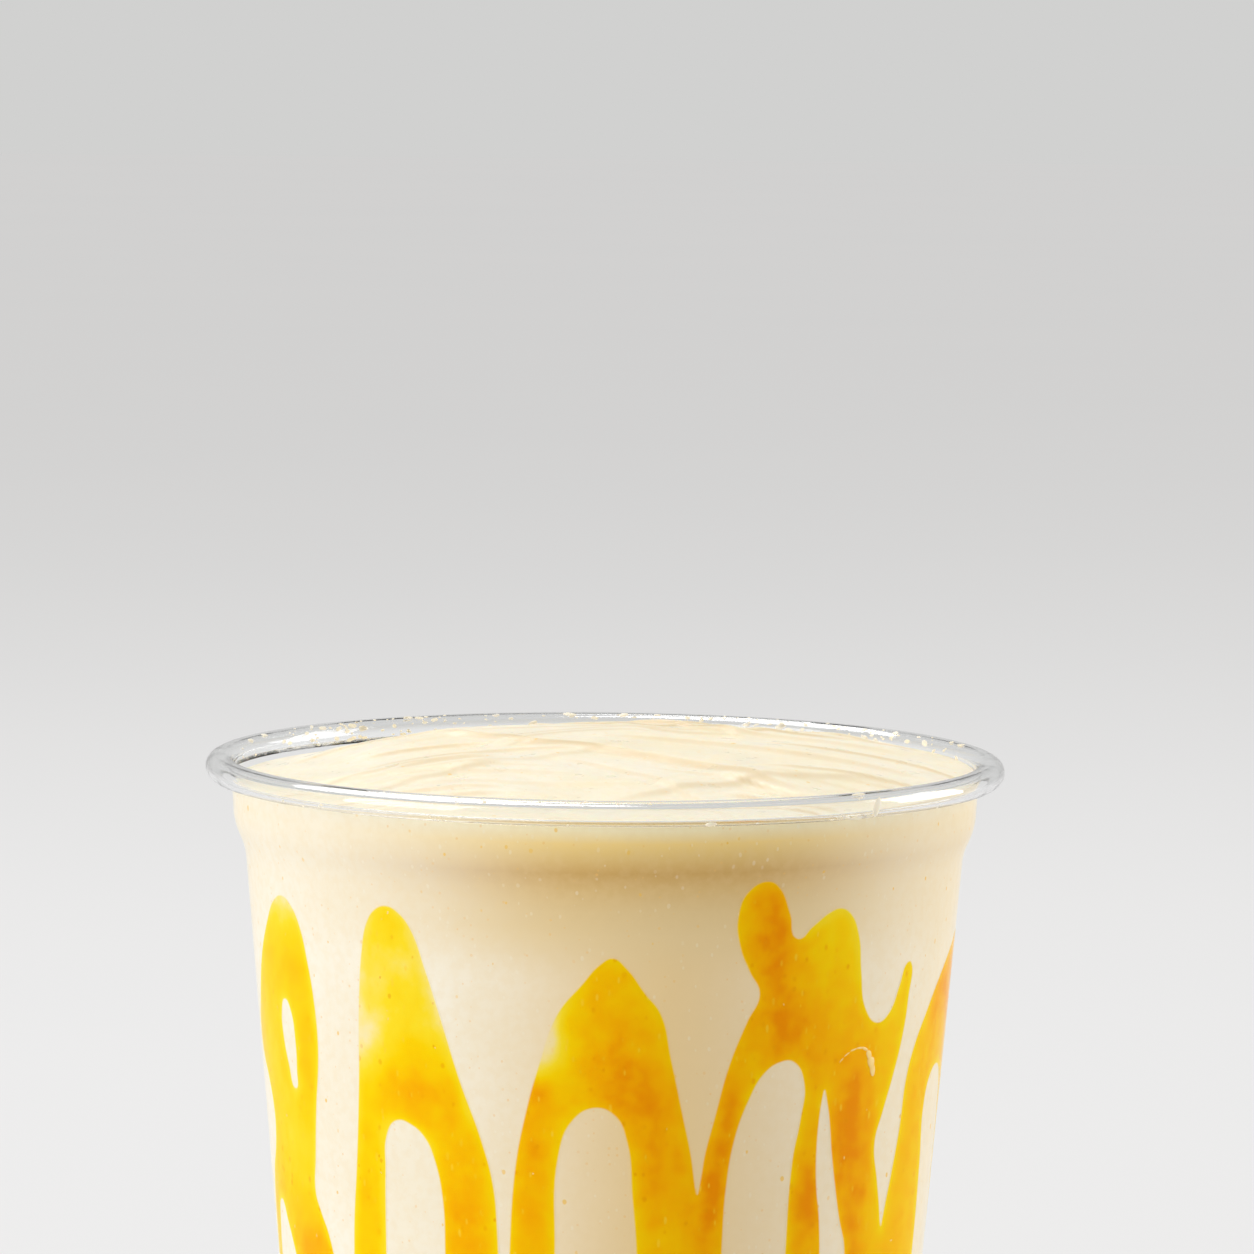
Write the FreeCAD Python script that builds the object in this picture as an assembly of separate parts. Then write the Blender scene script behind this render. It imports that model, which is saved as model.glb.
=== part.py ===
import FreeCAD, Part

import math
import os

# A mango frappe in a clear take-away cup.
#
# The cup is one thermoformed sheet of clear plastic: a standing ring round a pushed-up base, a plain
# tapered wall, a soft ledge where stacked cups rest on each other, a short neck, and a rim that is rolled
# outwards into a hollow curl.  Mango sauce was squeezed round the inside of the wall in tall loops before
# the drink went in, so it lies between wall and drink.  The frappe is thick enough to stand above the rim
# in a dome with soft, spread folds.
#
# Millimetres, +Z up.  The origin is the centre of the standing ring, on the surface that the cup stands on.

V = FreeCAD.Vector
CENTRE = V(0, 0, 0)
UP = V(0, 0, 1)

# ---- The cup -------------------------------------------------------------------------------------
CUP_HEIGHT = 146.0
SHEET = 0.5  # thickness of the formed plastic
RIM_DIAMETER = 98.0  # across the outside of the curl
CURL_HEIGHT = 3.0  # section of the rolled rim
CURL_FLAT = 0.6  # short flat run over its top, so that the section is this much wider than high
CURL_TURN = 290.0  # degrees that the sheet is rolled through, from the neck to its cut edge

NECK_DROP = 8.2  # depth below the rim's top at which the neck meets the ledge, before rounding
NECK_LEAN = 0.4  # how much narrower the neck is there than at the curl, on each side
LEDGE_DROP = 11.4  # depth below the rim's top at which the ledge meets the wall
LEDGE_STEP = 1.4  # how far the ledge steps in, on each side
LEDGE_ROUNDING = 7.0

FOOT_DIAMETER = 65.0  # where the wall would meet the floor, before rounding
FOOT_ROUNDING = 3.2
STANDING_RING_WIDTH = 3.4  # from the foot's rounding in to where the recess begins
RECESS_HEIGHT = 3.6  # the base's panel is pushed up this far above the floor
RECESS_RUN = 2.4  # how far the recess's side leans inwards on its way up
RECESS_ROUNDING = 1.4
PANEL_RISE = 0.9  # the panel's shallow cone, from its edge up to the rib
RIB_DIAMETER = 26.0  # round step that stiffens the panel
RIB_HEIGHT = 0.9
RIB_RUN = 1.8
RIB_ROUNDING = 1.2

# ---- The drink -----------------------------------------------------------------------------------
LEVEL_DROP = 3.2  # from the rim's top down to the drink where it meets the wall
DOME_RISE = 4.4  # how far the middle stands above that
BANK_RISE = 1.6  # how much higher the drink is banked against the wall at one side
BANK_FACING = 25.0  # degrees anticlockwise from +X, seen from above, to where the bank is highest
DRAWN_STEP = 2.5  # spacing of the points that the top's surface is drawn through
FOLDS_FADE = 4.0  # how quickly the folds grow to their full height away from the wall
SKY = 12.0  # how far the drink's blank reaches above the rim before its top is shaped


def fold(start, end, height, left, right, bow=0.0):
    """A fold in the drink's top, from start to end as (x, y), with its middle pushed sideways by bow.  left
    and right are how wide its flanks are, as seen by someone who walks along it: a steep one and a gentle
    one make it look like a lip of thick drink that has sunk onto the one before."""
    return dict(start=start, end=end, height=height, left=left, right=right, bow=bow)


FOLDS = [
    fold(start=(-34, 4), end=(6, 13), height=1.1, left=7.0, right=8.0, bow=2.0),
    fold(start=(-21, 10), end=(24, -28), height=0.8, left=2.6, right=9.0, bow=0.8),
    fold(start=(-19, -19), end=(3, -2), height=0.4, left=2.6, right=6.0, bow=-0.8),
    fold(start=(-38, -20), end=(-2, -24), height=0.5, left=2.6, right=5.0, bow=3.0),
    fold(start=(-32, -21), end=(8, -28), height=0.4, left=2.6, right=5.0, bow=-2.0),
    fold(start=(0, -35), end=(34, -16), height=0.5, left=2.6, right=6.0, bow=1.5),
    fold(start=(-2, 5), end=(40, -12), height=0.55, left=6.0, right=2.8, bow=2.5),
    fold(start=(2, 20), end=(39, 6), height=0.5, left=7.0, right=2.8, bow=3.0),
    fold(start=(-30, 22), end=(14, 31), height=0.5, left=3.0, right=7.0, bow=3.0),
]

# ---- The mango sauce -----------------------------------------------------------------------------
SAUCE_THICKNESS = 1.2  # from the wall's inside into the drink
SHOULDER = 10.5  # depth over which a loop's outside widens from its peak
ARCH = 2.8  # and over which the gap between its legs does
DRAWN_DEPTHS = (0.35, 1.0, 2.2)  # multiples of those depths at which the outline is set out
DRAWN_LEGS = (0.4, 0.75)  # and shares of the rest of the way down to the foot


def loop(facing, peak, gap, foot, reach, leg, lean=0.0):
    """A loop of sauce.  peak and gap are the depths below the rim of its top and of the gap between its
    legs, and foot is the legs' height above the floor.  The rest is in degrees round the cup: facing is
    anticlockwise from +X seen from above, reach is half the loop's width outside its legs, leg is a leg's
    width, and lean shifts the peak sideways."""
    return dict(facing=facing, peak=peak, gap=gap, foot=foot, reach=reach, leg=leg, lean=lean)


# The front of the cup faces -Y, which is 270 degrees.
LOOPS = [
    loop(facing=204, peak=15.0, gap=28.0, foot=38.0, reach=13.0, leg=6.6, lean=0.6),
    loop(facing=237, peak=14.0, gap=40.0, foot=27.0, reach=15.0, leg=8.4, lean=-4.0),
    loop(facing=270, peak=18.5, gap=37.0, foot=33.0, reach=15.0, leg=8.6, lean=0.8),
    loop(facing=304, peak=13.5, gap=32.5, foot=25.0, reach=14.8, leg=8.0, lean=-1.6),
    loop(facing=338, peak=20.0, gap=36.5, foot=36.0, reach=14.2, leg=7.2, lean=2.6),
    loop(facing=13, peak=16.5, gap=34.0, foot=28.0, reach=13.8, leg=7.6, lean=-1.4),
    loop(facing=49, peak=23.0, gap=42.5, foot=34.0, reach=15.2, leg=8.8, lean=2.0),
    loop(facing=87, peak=15.0, gap=32.0, foot=26.0, reach=14.4, leg=7.4, lean=-2.6),
    loop(facing=126, peak=21.5, gap=39.0, foot=37.0, reach=15.0, leg=8.2, lean=1.4),
    loop(facing=166, peak=16.0, gap=36.0, foot=29.0, reach=14.6, leg=8.0, lean=-2.0),
]


# ---- The formed sheet ----------------------------------------------------------------------------
def section_point(radius, height):
    return V(radius, 0, height)


def rounded_run(corners, roundings):
    """Straight runs through the corners, with a tangent arc of the given radius at each inner corner."""
    edges = []
    start = corners[0]
    for before, corner, after, radius in zip(corners, corners[1:], corners[2:], roundings):
        arriving = (corner - before).normalize()
        leaving = (after - corner).normalize()
        half_turn = arriving.getAngle(leaving) / 2
        inset = radius * math.tan(half_turn)
        bulge = radius / math.cos(half_turn) - radius
        arc_start = corner - arriving * inset
        arc_end = corner + leaving * inset
        arc_middle = corner + (leaving - arriving).normalize() * bulge
        edges.append(Part.LineSegment(start, arc_start).toShape())
        edges.append(Part.Arc(arc_start, arc_middle, arc_end).toShape())
        start = arc_end
    edges.append(Part.LineSegment(start, corners[-1]).toShape())
    return edges


def mouth_radius():
    """Radius of the cup's opening, inside the curl."""
    return RIM_DIAMETER / 2 - CURL_HEIGHT - CURL_FLAT


def neck_foot():
    at_curl = mouth_radius() + SHEET
    return section_point(at_curl - NECK_LEAN, CUP_HEIGHT - NECK_DROP)


def hollow_radius():
    """Radius of the space inside the curl, which the sheet's outside turns into."""
    return CURL_HEIGHT / 2 - SHEET


def curl_centres():
    """Where the curl turns: first out over the neck, then, after a short flat top, down and back under."""
    outer = section_point((RIM_DIAMETER - CURL_HEIGHT) / 2, CUP_HEIGHT - CURL_HEIGHT / 2)
    return outer - section_point(CURL_FLAT, 0), outer


def on_curl(centre, angle):
    return centre + V(math.cos(angle), 0, math.sin(angle)) * hollow_radius()


def curl_start():
    """Where, round its first centre, the neck runs into the curl: the neck is a tangent to the curl's
    hollow."""
    reach = curl_centres()[0] - neck_foot()
    return math.atan2(reach.z, reach.x) + math.pi - math.acos(hollow_radius() / reach.Length)


def outside_edges():
    """The outside of the sheet, from the axis under the base, round the foot and up to where the curl
    begins."""
    rib_top = RECESS_HEIGHT + PANEL_RISE + RIB_HEIGHT
    ring_inner = FOOT_DIAMETER / 2 - FOOT_ROUNDING - STANDING_RING_WIDTH
    corners = [
        section_point(0, rib_top),
        section_point((RIB_DIAMETER - RIB_RUN) / 2, rib_top),
        section_point((RIB_DIAMETER + RIB_RUN) / 2, rib_top - RIB_HEIGHT),
        section_point(ring_inner - RECESS_RUN, RECESS_HEIGHT),
        section_point(ring_inner, 0),
        section_point(FOOT_DIAMETER / 2, 0),
        section_point(neck_foot().x - LEDGE_STEP, CUP_HEIGHT - LEDGE_DROP),
        neck_foot(),
        on_curl(curl_centres()[0], curl_start()),
    ]
    roundings = [
        RIB_ROUNDING,
        RIB_ROUNDING,
        RECESS_ROUNDING,
        RECESS_ROUNDING,
        FOOT_ROUNDING,
        LEDGE_ROUNDING,
        LEDGE_ROUNDING,
    ]
    return rounded_run(corners, roundings)


def curl_arc(centre, start, end):
    points = [on_curl(centre, angle) for angle in (start, (start + end) / 2, end)]
    return Part.Arc(*points).toShape()


def curl_edges():
    """The sheet's outside where it is rolled: over the top, round and back towards the neck."""
    over_neck, outer = curl_centres()
    top = math.pi / 2
    return [
        curl_arc(over_neck, curl_start(), top),
        Part.LineSegment(on_curl(over_neck, top), on_curl(outer, top)).toShape(),
        curl_arc(outer, top, curl_start() - math.radians(CURL_TURN)),
    ]


def make_cup():
    """The sheet's outside as one open line, thickened by an even offset towards the drink and turned."""
    outside = Part.Wire(outside_edges() + curl_edges())
    section = outside.makeOffset2D(SHEET, 0, True, True, False)
    return section.revolve(CENTRE, UP, 360)


# ---- The drink's shape ---------------------------------------------------------------------------
def inside_wire():
    """The sheet's inside, from the axis up to the curl: what the drink fills and the sauce lies on."""
    return Part.Wire(outside_edges()).makeOffset2D(SHEET, 0, False, True, False)


def turned_solid(corners):
    """A solid of revolution from a straight-sided section."""
    return Part.Face(Part.makePolygon(corners + corners[:1])).revolve(CENTRE, UP, 360)


def blank():
    """Everything inside the cup, carried straight up past the rim."""
    inside = inside_wire()
    ends = [inside.OrderedVertexes[0].Point, inside.OrderedVertexes[-1].Point]
    low, high = sorted(ends, key=lambda point: point.x)
    top = CUP_HEIGHT + SKY
    closing = Part.makePolygon([high, section_point(high.x, top), section_point(0, top), low])
    return Part.Face(Part.Wire(inside.OrderedEdges + closing.Edges)).revolve(CENTRE, UP, 360)


def fold_height(shape, x, y):
    """Height that one fold adds at a point: most on its line, less out over its flanks and towards its
    ends."""
    start_x, start_y = shape["start"]
    run_x, run_y = shape["end"][0] - start_x, shape["end"][1] - start_y
    length = math.hypot(run_x, run_y)
    share = ((x - start_x) * run_x + (y - start_y) * run_y) / length**2
    to_left = ((y - start_y) * run_x - (x - start_x) * run_y) / length
    from_middle = 2 * share - 1
    to_left -= shape["bow"] * (1 - from_middle**2)
    flank = shape["left"] if to_left > 0 else shape["right"]
    return shape["height"] * math.exp(-((to_left / flank) ** 2) - from_middle**6)


def top_height(x, y):
    """Height of the drink's top: a low dome, banked up against the wall at one side, with folds that fade
    out at the wall."""
    inward = max(0.0, 1 - (x * x + y * y) / mouth_radius() ** 2)
    bank = math.radians(BANK_FACING)
    towards_bank = max(0.0, x * math.cos(bank) + y * math.sin(bank)) / mouth_radius()
    smooth_top = CUP_HEIGHT - LEVEL_DROP + DOME_RISE * inward + BANK_RISE * towards_bank**1.5
    folds = sum(fold_height(shape, x, y) for shape in FOLDS)
    return smooth_top + folds * min(1.0, FOLDS_FADE * inward)


def above_the_drink():
    """The space over the drink's top, as a block whose underside is the top's smooth surface."""
    reach = RIM_DIAMETER / 2
    count = 2 * math.ceil(reach / DRAWN_STEP) + 1
    places = [-reach + 2 * reach * i / (count - 1) for i in range(count)]
    surface = Part.BSplineSurface()
    surface.interpolate([[V(x, y, top_height(x, y)) for y in places] for x in places])
    return surface.toShape().extrude(UP * 2 * SKY)


# ---- The sauce's shape ---------------------------------------------------------------------------
def wall_inside():
    """The straight run of the sheet's inside, between the foot's rounding and the ledge's, as its two
    ends."""
    straight = max(inside_wire().Edges, key=lambda edge: edge.Length)
    return sorted((vertex.Point for vertex in straight.Vertexes), key=lambda point: point.z)


def sauce_layer():
    """The whole ring of drink next to the wall, as thick as the sauce."""
    low, high = wall_inside()
    into_drink = section_point(-SAUCE_THICKNESS, 0)
    return turned_solid([low, high, high + into_drink, low + into_drink])


def widened(width, depth, shoulder):
    """How far a side has spread at a depth below its rounded top, on its way to its full width."""
    return width * (1 - math.exp(-depth / shoulder))


def side_heights(top, foot, shoulder):
    """Heights at which one side of a leg is set out, from just under its top to just above its foot."""
    upper = [top - shoulder * share for share in DRAWN_DEPTHS]
    return upper + [upper[-1] + (foot - upper[-1]) * share for share in DRAWN_LEGS]


def loop_outline(shape):
    """The points round one loop as (across, height), and the places in that list where a leg or a gap turns
    back.  The list runs from the peak down one leg's outside, up its inside to the gap's top, and round the
    other leg."""
    peak, gap_top, foot = CUP_HEIGHT - shape["peak"], CUP_HEIGHT - shape["gap"], shape["foot"]
    low, high = wall_inside()

    def placed(turn, height):
        wall = low.x + (high.x - low.x) * (height - low.z) / (high.z - low.z)
        lean = shape["lean"] * (height - foot) / (peak - foot)
        return wall * math.sin(math.radians(turn + lean)), height

    def leg(side):
        reach, gap = side * shape["reach"], side * (shape["reach"] - shape["leg"])
        outside = [placed(widened(reach, peak - z, SHOULDER), z) for z in side_heights(peak, foot, SHOULDER)]
        inside = [placed(widened(gap, gap_top - z, ARCH), z) for z in side_heights(gap_top, foot, ARCH)]
        return outside, placed((reach + gap) / 2, foot), inside

    points = [placed(0, peak)]
    turns = [0]
    outside, toe, inside = leg(1)
    points += outside + [toe] + inside[::-1] + [placed(0, gap_top)]
    turns += [len(outside) + 1, len(points) - 1]
    outside, toe, inside = leg(-1)
    points += inside + [toe] + outside[::-1]
    turns += [turns[-1] + len(inside) + 1]
    return points, turns


def make_loop(shape, layer):
    """A loop is cut out of the sauce's layer by a prism that stands out from the cup's axis towards its
    facing.  Its smooth outline is one closed curve, divided at its turns so that no face is bounded by a
    single long edge."""
    turn = math.radians(shape["facing"])
    facing = V(math.cos(turn), math.sin(turn), 0)
    across = UP.cross(facing)
    outline, turns = loop_outline(shape)
    points = [facing * (FOOT_DIAMETER / 4) + across * u + UP * z for u, z in outline]
    curve = Part.BSplineCurve()
    curve.interpolate(points, PeriodicFlag=True)
    divisions = [curve.parameter(points[place]) for place in turns] + [curve.LastParameter]
    edges = [curve.toShape(start, end) for start, end in zip(divisions, divisions[1:])]
    return layer.common(Part.Face(Part.Wire(edges)).extrude(facing * RIM_DIAMETER / 2))


def make_sauce():
    """Each loop was squeezed on by itself, so each is a piece of its own."""
    layer = sauce_layer()
    return {f"sauce_loop_{number}": make_loop(shape, layer) for number, shape in enumerate(LOOPS, start=1)}


def make_frappe(sauce):
    """The drink, up to its folded top, with room for the sauce that lies between it and the wall."""
    return blank().cut(above_the_drink()).cut(list(sauce.values()))


def main():
    os.makedirs("parts", exist_ok=True)
    sauce = make_sauce()
    nodes = {"cup": make_cup(), "frappe": make_frappe(sauce), **sauce}
    for name, shape in nodes.items():
        shape.exportStep(f"parts/{name}.step")
        print(f"{name}: {shape.Volume / 1000:.2f} cm3, valid {shape.isValid()}")


main()
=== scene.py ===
# %% [markdown]
# # A mango frappe in a clear takeaway cup
#
# A takeaway cup is one warm sheet of clear plastic, sucked into a mould. Here it is full of thick
# mango frappe, with mango sauce squeezed round the inside of its wall in tall swirls before the
# drink went in. Three pieces carry the looks: the clear cup, the drink, and the sauce between them.
# Splashes on the rim and bubbles in the sauce make it look poured rather than drawn.
#
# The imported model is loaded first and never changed. Its boxes say where everything is, in metres,
# with the cup standing at the origin and its front towards -Y.

import math
import random

import bmesh
import bpy
import numpy as np
from mathutils import Matrix, Vector


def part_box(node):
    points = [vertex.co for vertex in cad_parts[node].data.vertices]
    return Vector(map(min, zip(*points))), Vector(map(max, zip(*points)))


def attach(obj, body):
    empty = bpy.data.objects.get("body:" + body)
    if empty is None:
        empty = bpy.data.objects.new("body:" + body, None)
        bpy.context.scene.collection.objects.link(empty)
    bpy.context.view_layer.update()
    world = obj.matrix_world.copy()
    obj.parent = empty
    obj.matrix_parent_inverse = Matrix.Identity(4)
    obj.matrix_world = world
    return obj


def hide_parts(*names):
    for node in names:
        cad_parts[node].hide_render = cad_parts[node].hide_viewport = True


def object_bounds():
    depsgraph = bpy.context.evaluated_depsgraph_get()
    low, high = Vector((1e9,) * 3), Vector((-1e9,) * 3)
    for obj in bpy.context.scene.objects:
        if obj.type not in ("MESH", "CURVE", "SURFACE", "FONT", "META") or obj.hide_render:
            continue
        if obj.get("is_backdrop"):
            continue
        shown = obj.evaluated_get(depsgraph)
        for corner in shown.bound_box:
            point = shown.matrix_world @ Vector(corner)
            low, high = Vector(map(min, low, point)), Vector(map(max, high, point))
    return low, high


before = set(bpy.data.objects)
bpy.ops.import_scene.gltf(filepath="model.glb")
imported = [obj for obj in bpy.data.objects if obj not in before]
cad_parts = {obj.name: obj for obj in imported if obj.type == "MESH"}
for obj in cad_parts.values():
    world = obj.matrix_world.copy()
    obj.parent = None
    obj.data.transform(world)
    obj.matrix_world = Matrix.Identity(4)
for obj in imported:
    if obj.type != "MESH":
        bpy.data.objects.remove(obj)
cad_box = [list(corner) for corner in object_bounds()]
MM = 0.001
RIM_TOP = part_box("cup")[1][2] / MM
RIM_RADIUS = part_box("cup")[1][0] / MM
print("rim top", round(RIM_TOP, 2), "mm above the floor, rim radius", round(RIM_RADIUS, 2), "mm")

# %% [markdown]
# ## The camera
#
# A product is often taken with a long lens from a step or two back, a little above the rim, so that
# its sides stay nearly upright and the mouth is a thin ellipse. A lens of 187 mm on a 36 mm sensor at
# 0.8 m does that. The camera could be aimed with a Track To constraint, but three short vectors say
# exactly where it looks, and let it roll by half a degree as a hand-held camera does.

# %% Camera
STEP_BACK = 800 * MM
LOOKS_DOWN_ON_RIM = math.radians(6.62)
PITCH = math.radians(5.50)
YAW = math.radians(0.18)
ROLL = math.radians(0.59)
SENSOR_WIDTH, LENS = 36, 187



def put_in_scene(name, data):
    item = bpy.data.objects.new(name, data)
    bpy.context.collection.objects.link(item)
    return item


camera = put_in_scene("camera", bpy.data.cameras.new("camera"))
bpy.context.scene.camera = camera
camera.data.sensor_width = SENSOR_WIDTH
camera.data.lens = LENS
eye = Vector((0, -math.cos(LOOKS_DOWN_ON_RIM), math.sin(LOOKS_DOWN_ON_RIM))) * STEP_BACK
eye.z += RIM_TOP * MM
ahead = Vector((math.sin(YAW) * math.cos(PITCH), math.cos(YAW) * math.cos(PITCH), -math.sin(PITCH)))
level_right = Vector((math.cos(YAW), -math.sin(YAW), 0))
level_up = level_right.cross(ahead)
right = level_right * math.cos(ROLL) + level_up * math.sin(ROLL)
up = level_up * math.cos(ROLL) - level_right * math.sin(ROLL)
camera.matrix_world = Matrix.Translation(eye) @ Matrix((right, up, -ahead)).transposed().to_4x4()
print("camera", [round(part, 3) for part in eye])

# %% [markdown]
# ## Helpers for pieces
#
# Every piece ends the same way: its mesh goes to an object at the origin, gets its material and
# smooth shading with its sharp edges kept, rides on the only body, and hides the imported nodes it
# stands for.

# %% Finish a piece
CREASE = math.radians(40)


def piece_from(name, bm, materials, stands_for=()):
    for edge in bm.edges:
        edge.smooth = edge.calc_face_angle(0) < CREASE
    mesh = bpy.data.meshes.new(name)
    bm.to_mesh(mesh)
    bm.free()
    for material in materials:
        mesh.materials.append(material)
    mesh.polygons.foreach_set("use_smooth", [True] * len(mesh.polygons))
    piece = put_in_scene(name, mesh)
    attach(piece, "root")
    if stands_for:
        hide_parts(*stands_for)
    mesh.calc_loop_triangles()
    print(name, "has", len(mesh.loop_triangles), "triangles")


# %% [markdown]
# ## Helpers for materials
#
# A material is a small tree of nodes. One short function makes a node, fills its inputs and joins it
# to others: an input is given a number or colour, or the output of another node. The functions after
# it are for what comes back in every material.

# %% Make nodes and join them
def add_node(tree, kind, settings=None, **inputs):
    """A node with inputs filled: Base_Color means the one named so, _1 the one at that place."""
    node = tree.nodes.new(kind)
    for name, value in (settings or {}).items():
        setattr(node, name, value)
    for name, value in inputs.items():
        key = int(name[1:]) if name[0] == "_" else name.replace("_", " ")
        if isinstance(value, bpy.types.NodeSocket):
            tree.links.new(value, node.inputs[key])
        else:
            node.inputs[key].default_value = value
    return node


def calculate(tree, operation, *values):
    """One step of arithmetic on numbers or outputs."""
    inputs = {f"_{place}": value for place, value in enumerate(values)}
    return add_node(tree, "ShaderNodeMath", {"operation": operation}, **inputs).outputs[0]


def times(tree, first, second):
    return calculate(tree, "MULTIPLY", first, second)


def mix_colours(tree, share, first, second):
    settings = {"data_type": "RGBA"}
    return add_node(tree, "ShaderNodeMix", settings, _0=share, _6=first, _7=second).outputs[2]


def mix_shaders(tree, share, first, second):
    return add_node(tree, "ShaderNodeMixShader", _0=share, _1=first, _2=second).outputs[0]


def between(tree, value, low, high, to_low=0.0, to_high=1.0, easing="SMOOTHSTEP"):
    """Eases a value from one range to another, as 0 to 1 by default."""
    return add_node(tree, "ShaderNodeMapRange", {"interpolation_type": easing}, _0=value,
                    From_Min=low, From_Max=high, To_Min=to_low, To_Max=to_high).outputs[0]


def object_place(tree):
    """Where the point being shaded is on its object, in metres."""
    return add_node(tree, "ShaderNodeTexCoord").outputs["Object"]


def noise(tree, place, scale, detail, output="Fac"):
    """Soft random clouds: the higher the scale, the smaller they are."""
    return add_node(tree, "ShaderNodeTexNoise", Vector=place, Scale=scale, Detail=detail).outputs[output]


def attribute(tree, name):
    """A number that the mesh keeps at each of its points."""
    return add_node(tree, "ShaderNodeAttribute", {"attribute_name": name}).outputs["Fac"]


def bumped(tree, height, distance):
    """The surface's direction once a height has roughened it."""
    return add_node(tree, "ShaderNodeBump", Strength=1.0, Distance=distance, Height=height).outputs[0]


def colour(red, green, blue):
    """A colour as a paint shop writes it, 0 to 255, as the plain light that Blender works in."""
    parts = [part / 255 for part in (red, green, blue)]
    return [p / 12.92 if p < 0.04045 else ((p + 0.055) / 1.055) ** 2.4 for p in parts] + [1.0]


def ramp_of(tree, value, shades):
    """Colours for a value from 0 to 1, as (place, (red, green, blue)) along a ramp."""
    ramp = add_node(tree, "ShaderNodeValToRGB", _0=value)
    stops = ramp.color_ramp.elements
    while len(stops) < len(shades):
        stops.new(0.5)
    for stop, (position, shade) in zip(stops, shades):
        stop.position = position
        stop.color = colour(*shade)
    return ramp.outputs[0]


def new_material(name):
    material = bpy.data.materials.new(name)
    material.use_nodes = True
    material.node_tree.nodes.clear()
    return material, material.node_tree


def finish_material(tree, shader):
    output = tree.nodes.new("ShaderNodeOutputMaterial")
    tree.links.new(shader, output.inputs["Surface"])


def new_group(name, inputs, outputs):
    """A shader group with its sockets, as {name: kind}, and the two ends inside it to join."""
    group = bpy.data.node_groups.new(name, "ShaderNodeTree")
    for direction, sockets in (("INPUT", inputs), ("OUTPUT", outputs)):
        for socket, kind in sockets.items():
            group.interface.new_socket(socket, in_out=direction, socket_type=f"NodeSocket{kind}")
    given = group.nodes.new("NodeGroupInput").outputs
    return group, given, group.nodes.new("NodeGroupOutput").inputs


# %% [markdown]
# ## A shader group for flecks
#
# Both the drink and the sauce are full of pulp: specks and short fibres of mango. They could be
# thousands of tiny meshes, but most of them are faint and lie inside the liquid, so a pattern does
# better. A Voronoi texture scatters one point in each cell of space. Near the point is the speck, and
# the cell's own random colour decides whether it gets one and how strong it is.

# %% Flecks of pulp
RAGGED = [0.2 * MM] * 3  # how far noise pushes the edge of a fleck about


def make_flecks_group():
    inputs = {"Per Metre": "Float", "Size": "Float", "Share": "Float", "Stretch": "Vector"}
    group, given, made = new_group("flecks of pulp", inputs, {"Mask": "Float"})
    place = object_place(group)
    nudged = add_node(group, "ShaderNodeVectorMath", {"operation": "MULTIPLY_ADD"},
                      _0=noise(group, place, 900.0, 2.0, "Color"), _1=RAGGED, _2=place).outputs[0]
    stretched = add_node(group, "ShaderNodeVectorMath", {"operation": "MULTIPLY"}, _0=nudged,
                         _1=given["Stretch"]).outputs[0]
    cells = add_node(group, "ShaderNodeTexVoronoi", Vector=stretched, Scale=given["Per Metre"])
    luck = add_node(group, "ShaderNodeSeparateColor", Color=cells.outputs["Color"]).outputs
    chosen = calculate(group, "LESS_THAN", luck["Red"], given["Share"])
    own_size = times(group, given["Size"], calculate(group, "MULTIPLY_ADD", luck["Green"], 0.7, 0.5))
    nearness = calculate(group, "SUBTRACT", 1.0,
                         calculate(group, "DIVIDE", cells.outputs["Distance"], own_size))
    soft = times(group, between(group, nearness, 0.0, 0.3), chosen)
    strength = calculate(group, "MULTIPLY_ADD", luck["Blue"], 0.6, 0.4)
    group.links.new(times(group, soft, strength), made["Mask"])
    return group


flecks_group = make_flecks_group()


def with_flecks(tree, under, shade, strength, per_metre, size, share, stretch=(1, 1, 1)):
    """A colour with flecks of another shade in it."""
    mask = add_node(tree, "ShaderNodeGroup", {"node_tree": flecks_group}, Per_Metre=per_metre,
                    Size=size, Share=share, Stretch=stretch).outputs["Mask"]
    return mix_colours(tree, times(tree, mask, strength), under, shade)


print("flecks group has", len(flecks_group.nodes), "nodes")

# %% [markdown]
# ## The drink's colour
#
# Mango, milk and ice blended together are a warm cream, a little deeper in one place and paler in
# another, with orange pulp specks. Three kinds of painted light go on top, mostly painted shade. A
# band down the middle of the front is painted a deeper tan as shade; the neck over the ledge runs
# through painted tan shade by height, darkest in the crease, with a painted glow under the rim,
# fading at both ends; and on the open top each point brings its share of painted crease shade in an
# attribute, "crease". The same colour shows where the sauce thins out to nothing, so it is a group
# that both materials place.

# %% The drink's colour
OPEN_CREAM = colour(251, 240, 210)
OPEN_PALE = colour(254, 247, 228)
# painted shade: the tan that the open top's creases are painted
CREASE_SHADE_TAN = colour(220, 198, 154)
WALL_CREAM = colour(249, 241, 221)
WALL_PALE = colour(252, 247, 233)
# painted shade: the deeper tan that the middle of the front is painted
FRONT_SHADE_TAN = colour(243, 217, 166)
GRAIN = colour(240, 216, 166)
PALE_FLECK = colour(255, 251, 238)
PULP = colour(246, 200, 72)
SMALL_PULP = colour(243, 200, 120)
NECK_SHADE_AND_GLOW = [
    # height in mm, colour: painted glow under the rim, then painted tan shade, darkest in the ledge's
    # crease
    (129.5, (237, 214, 166)), (132.5, (232, 207, 156)), (135.2, (224, 193, 134)),
    (137.2, (212, 174, 108)), (138.8, (229, 197, 130)), (140.7, (249, 220, 146)),
    (142.3, (255, 244, 206)),
]


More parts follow.
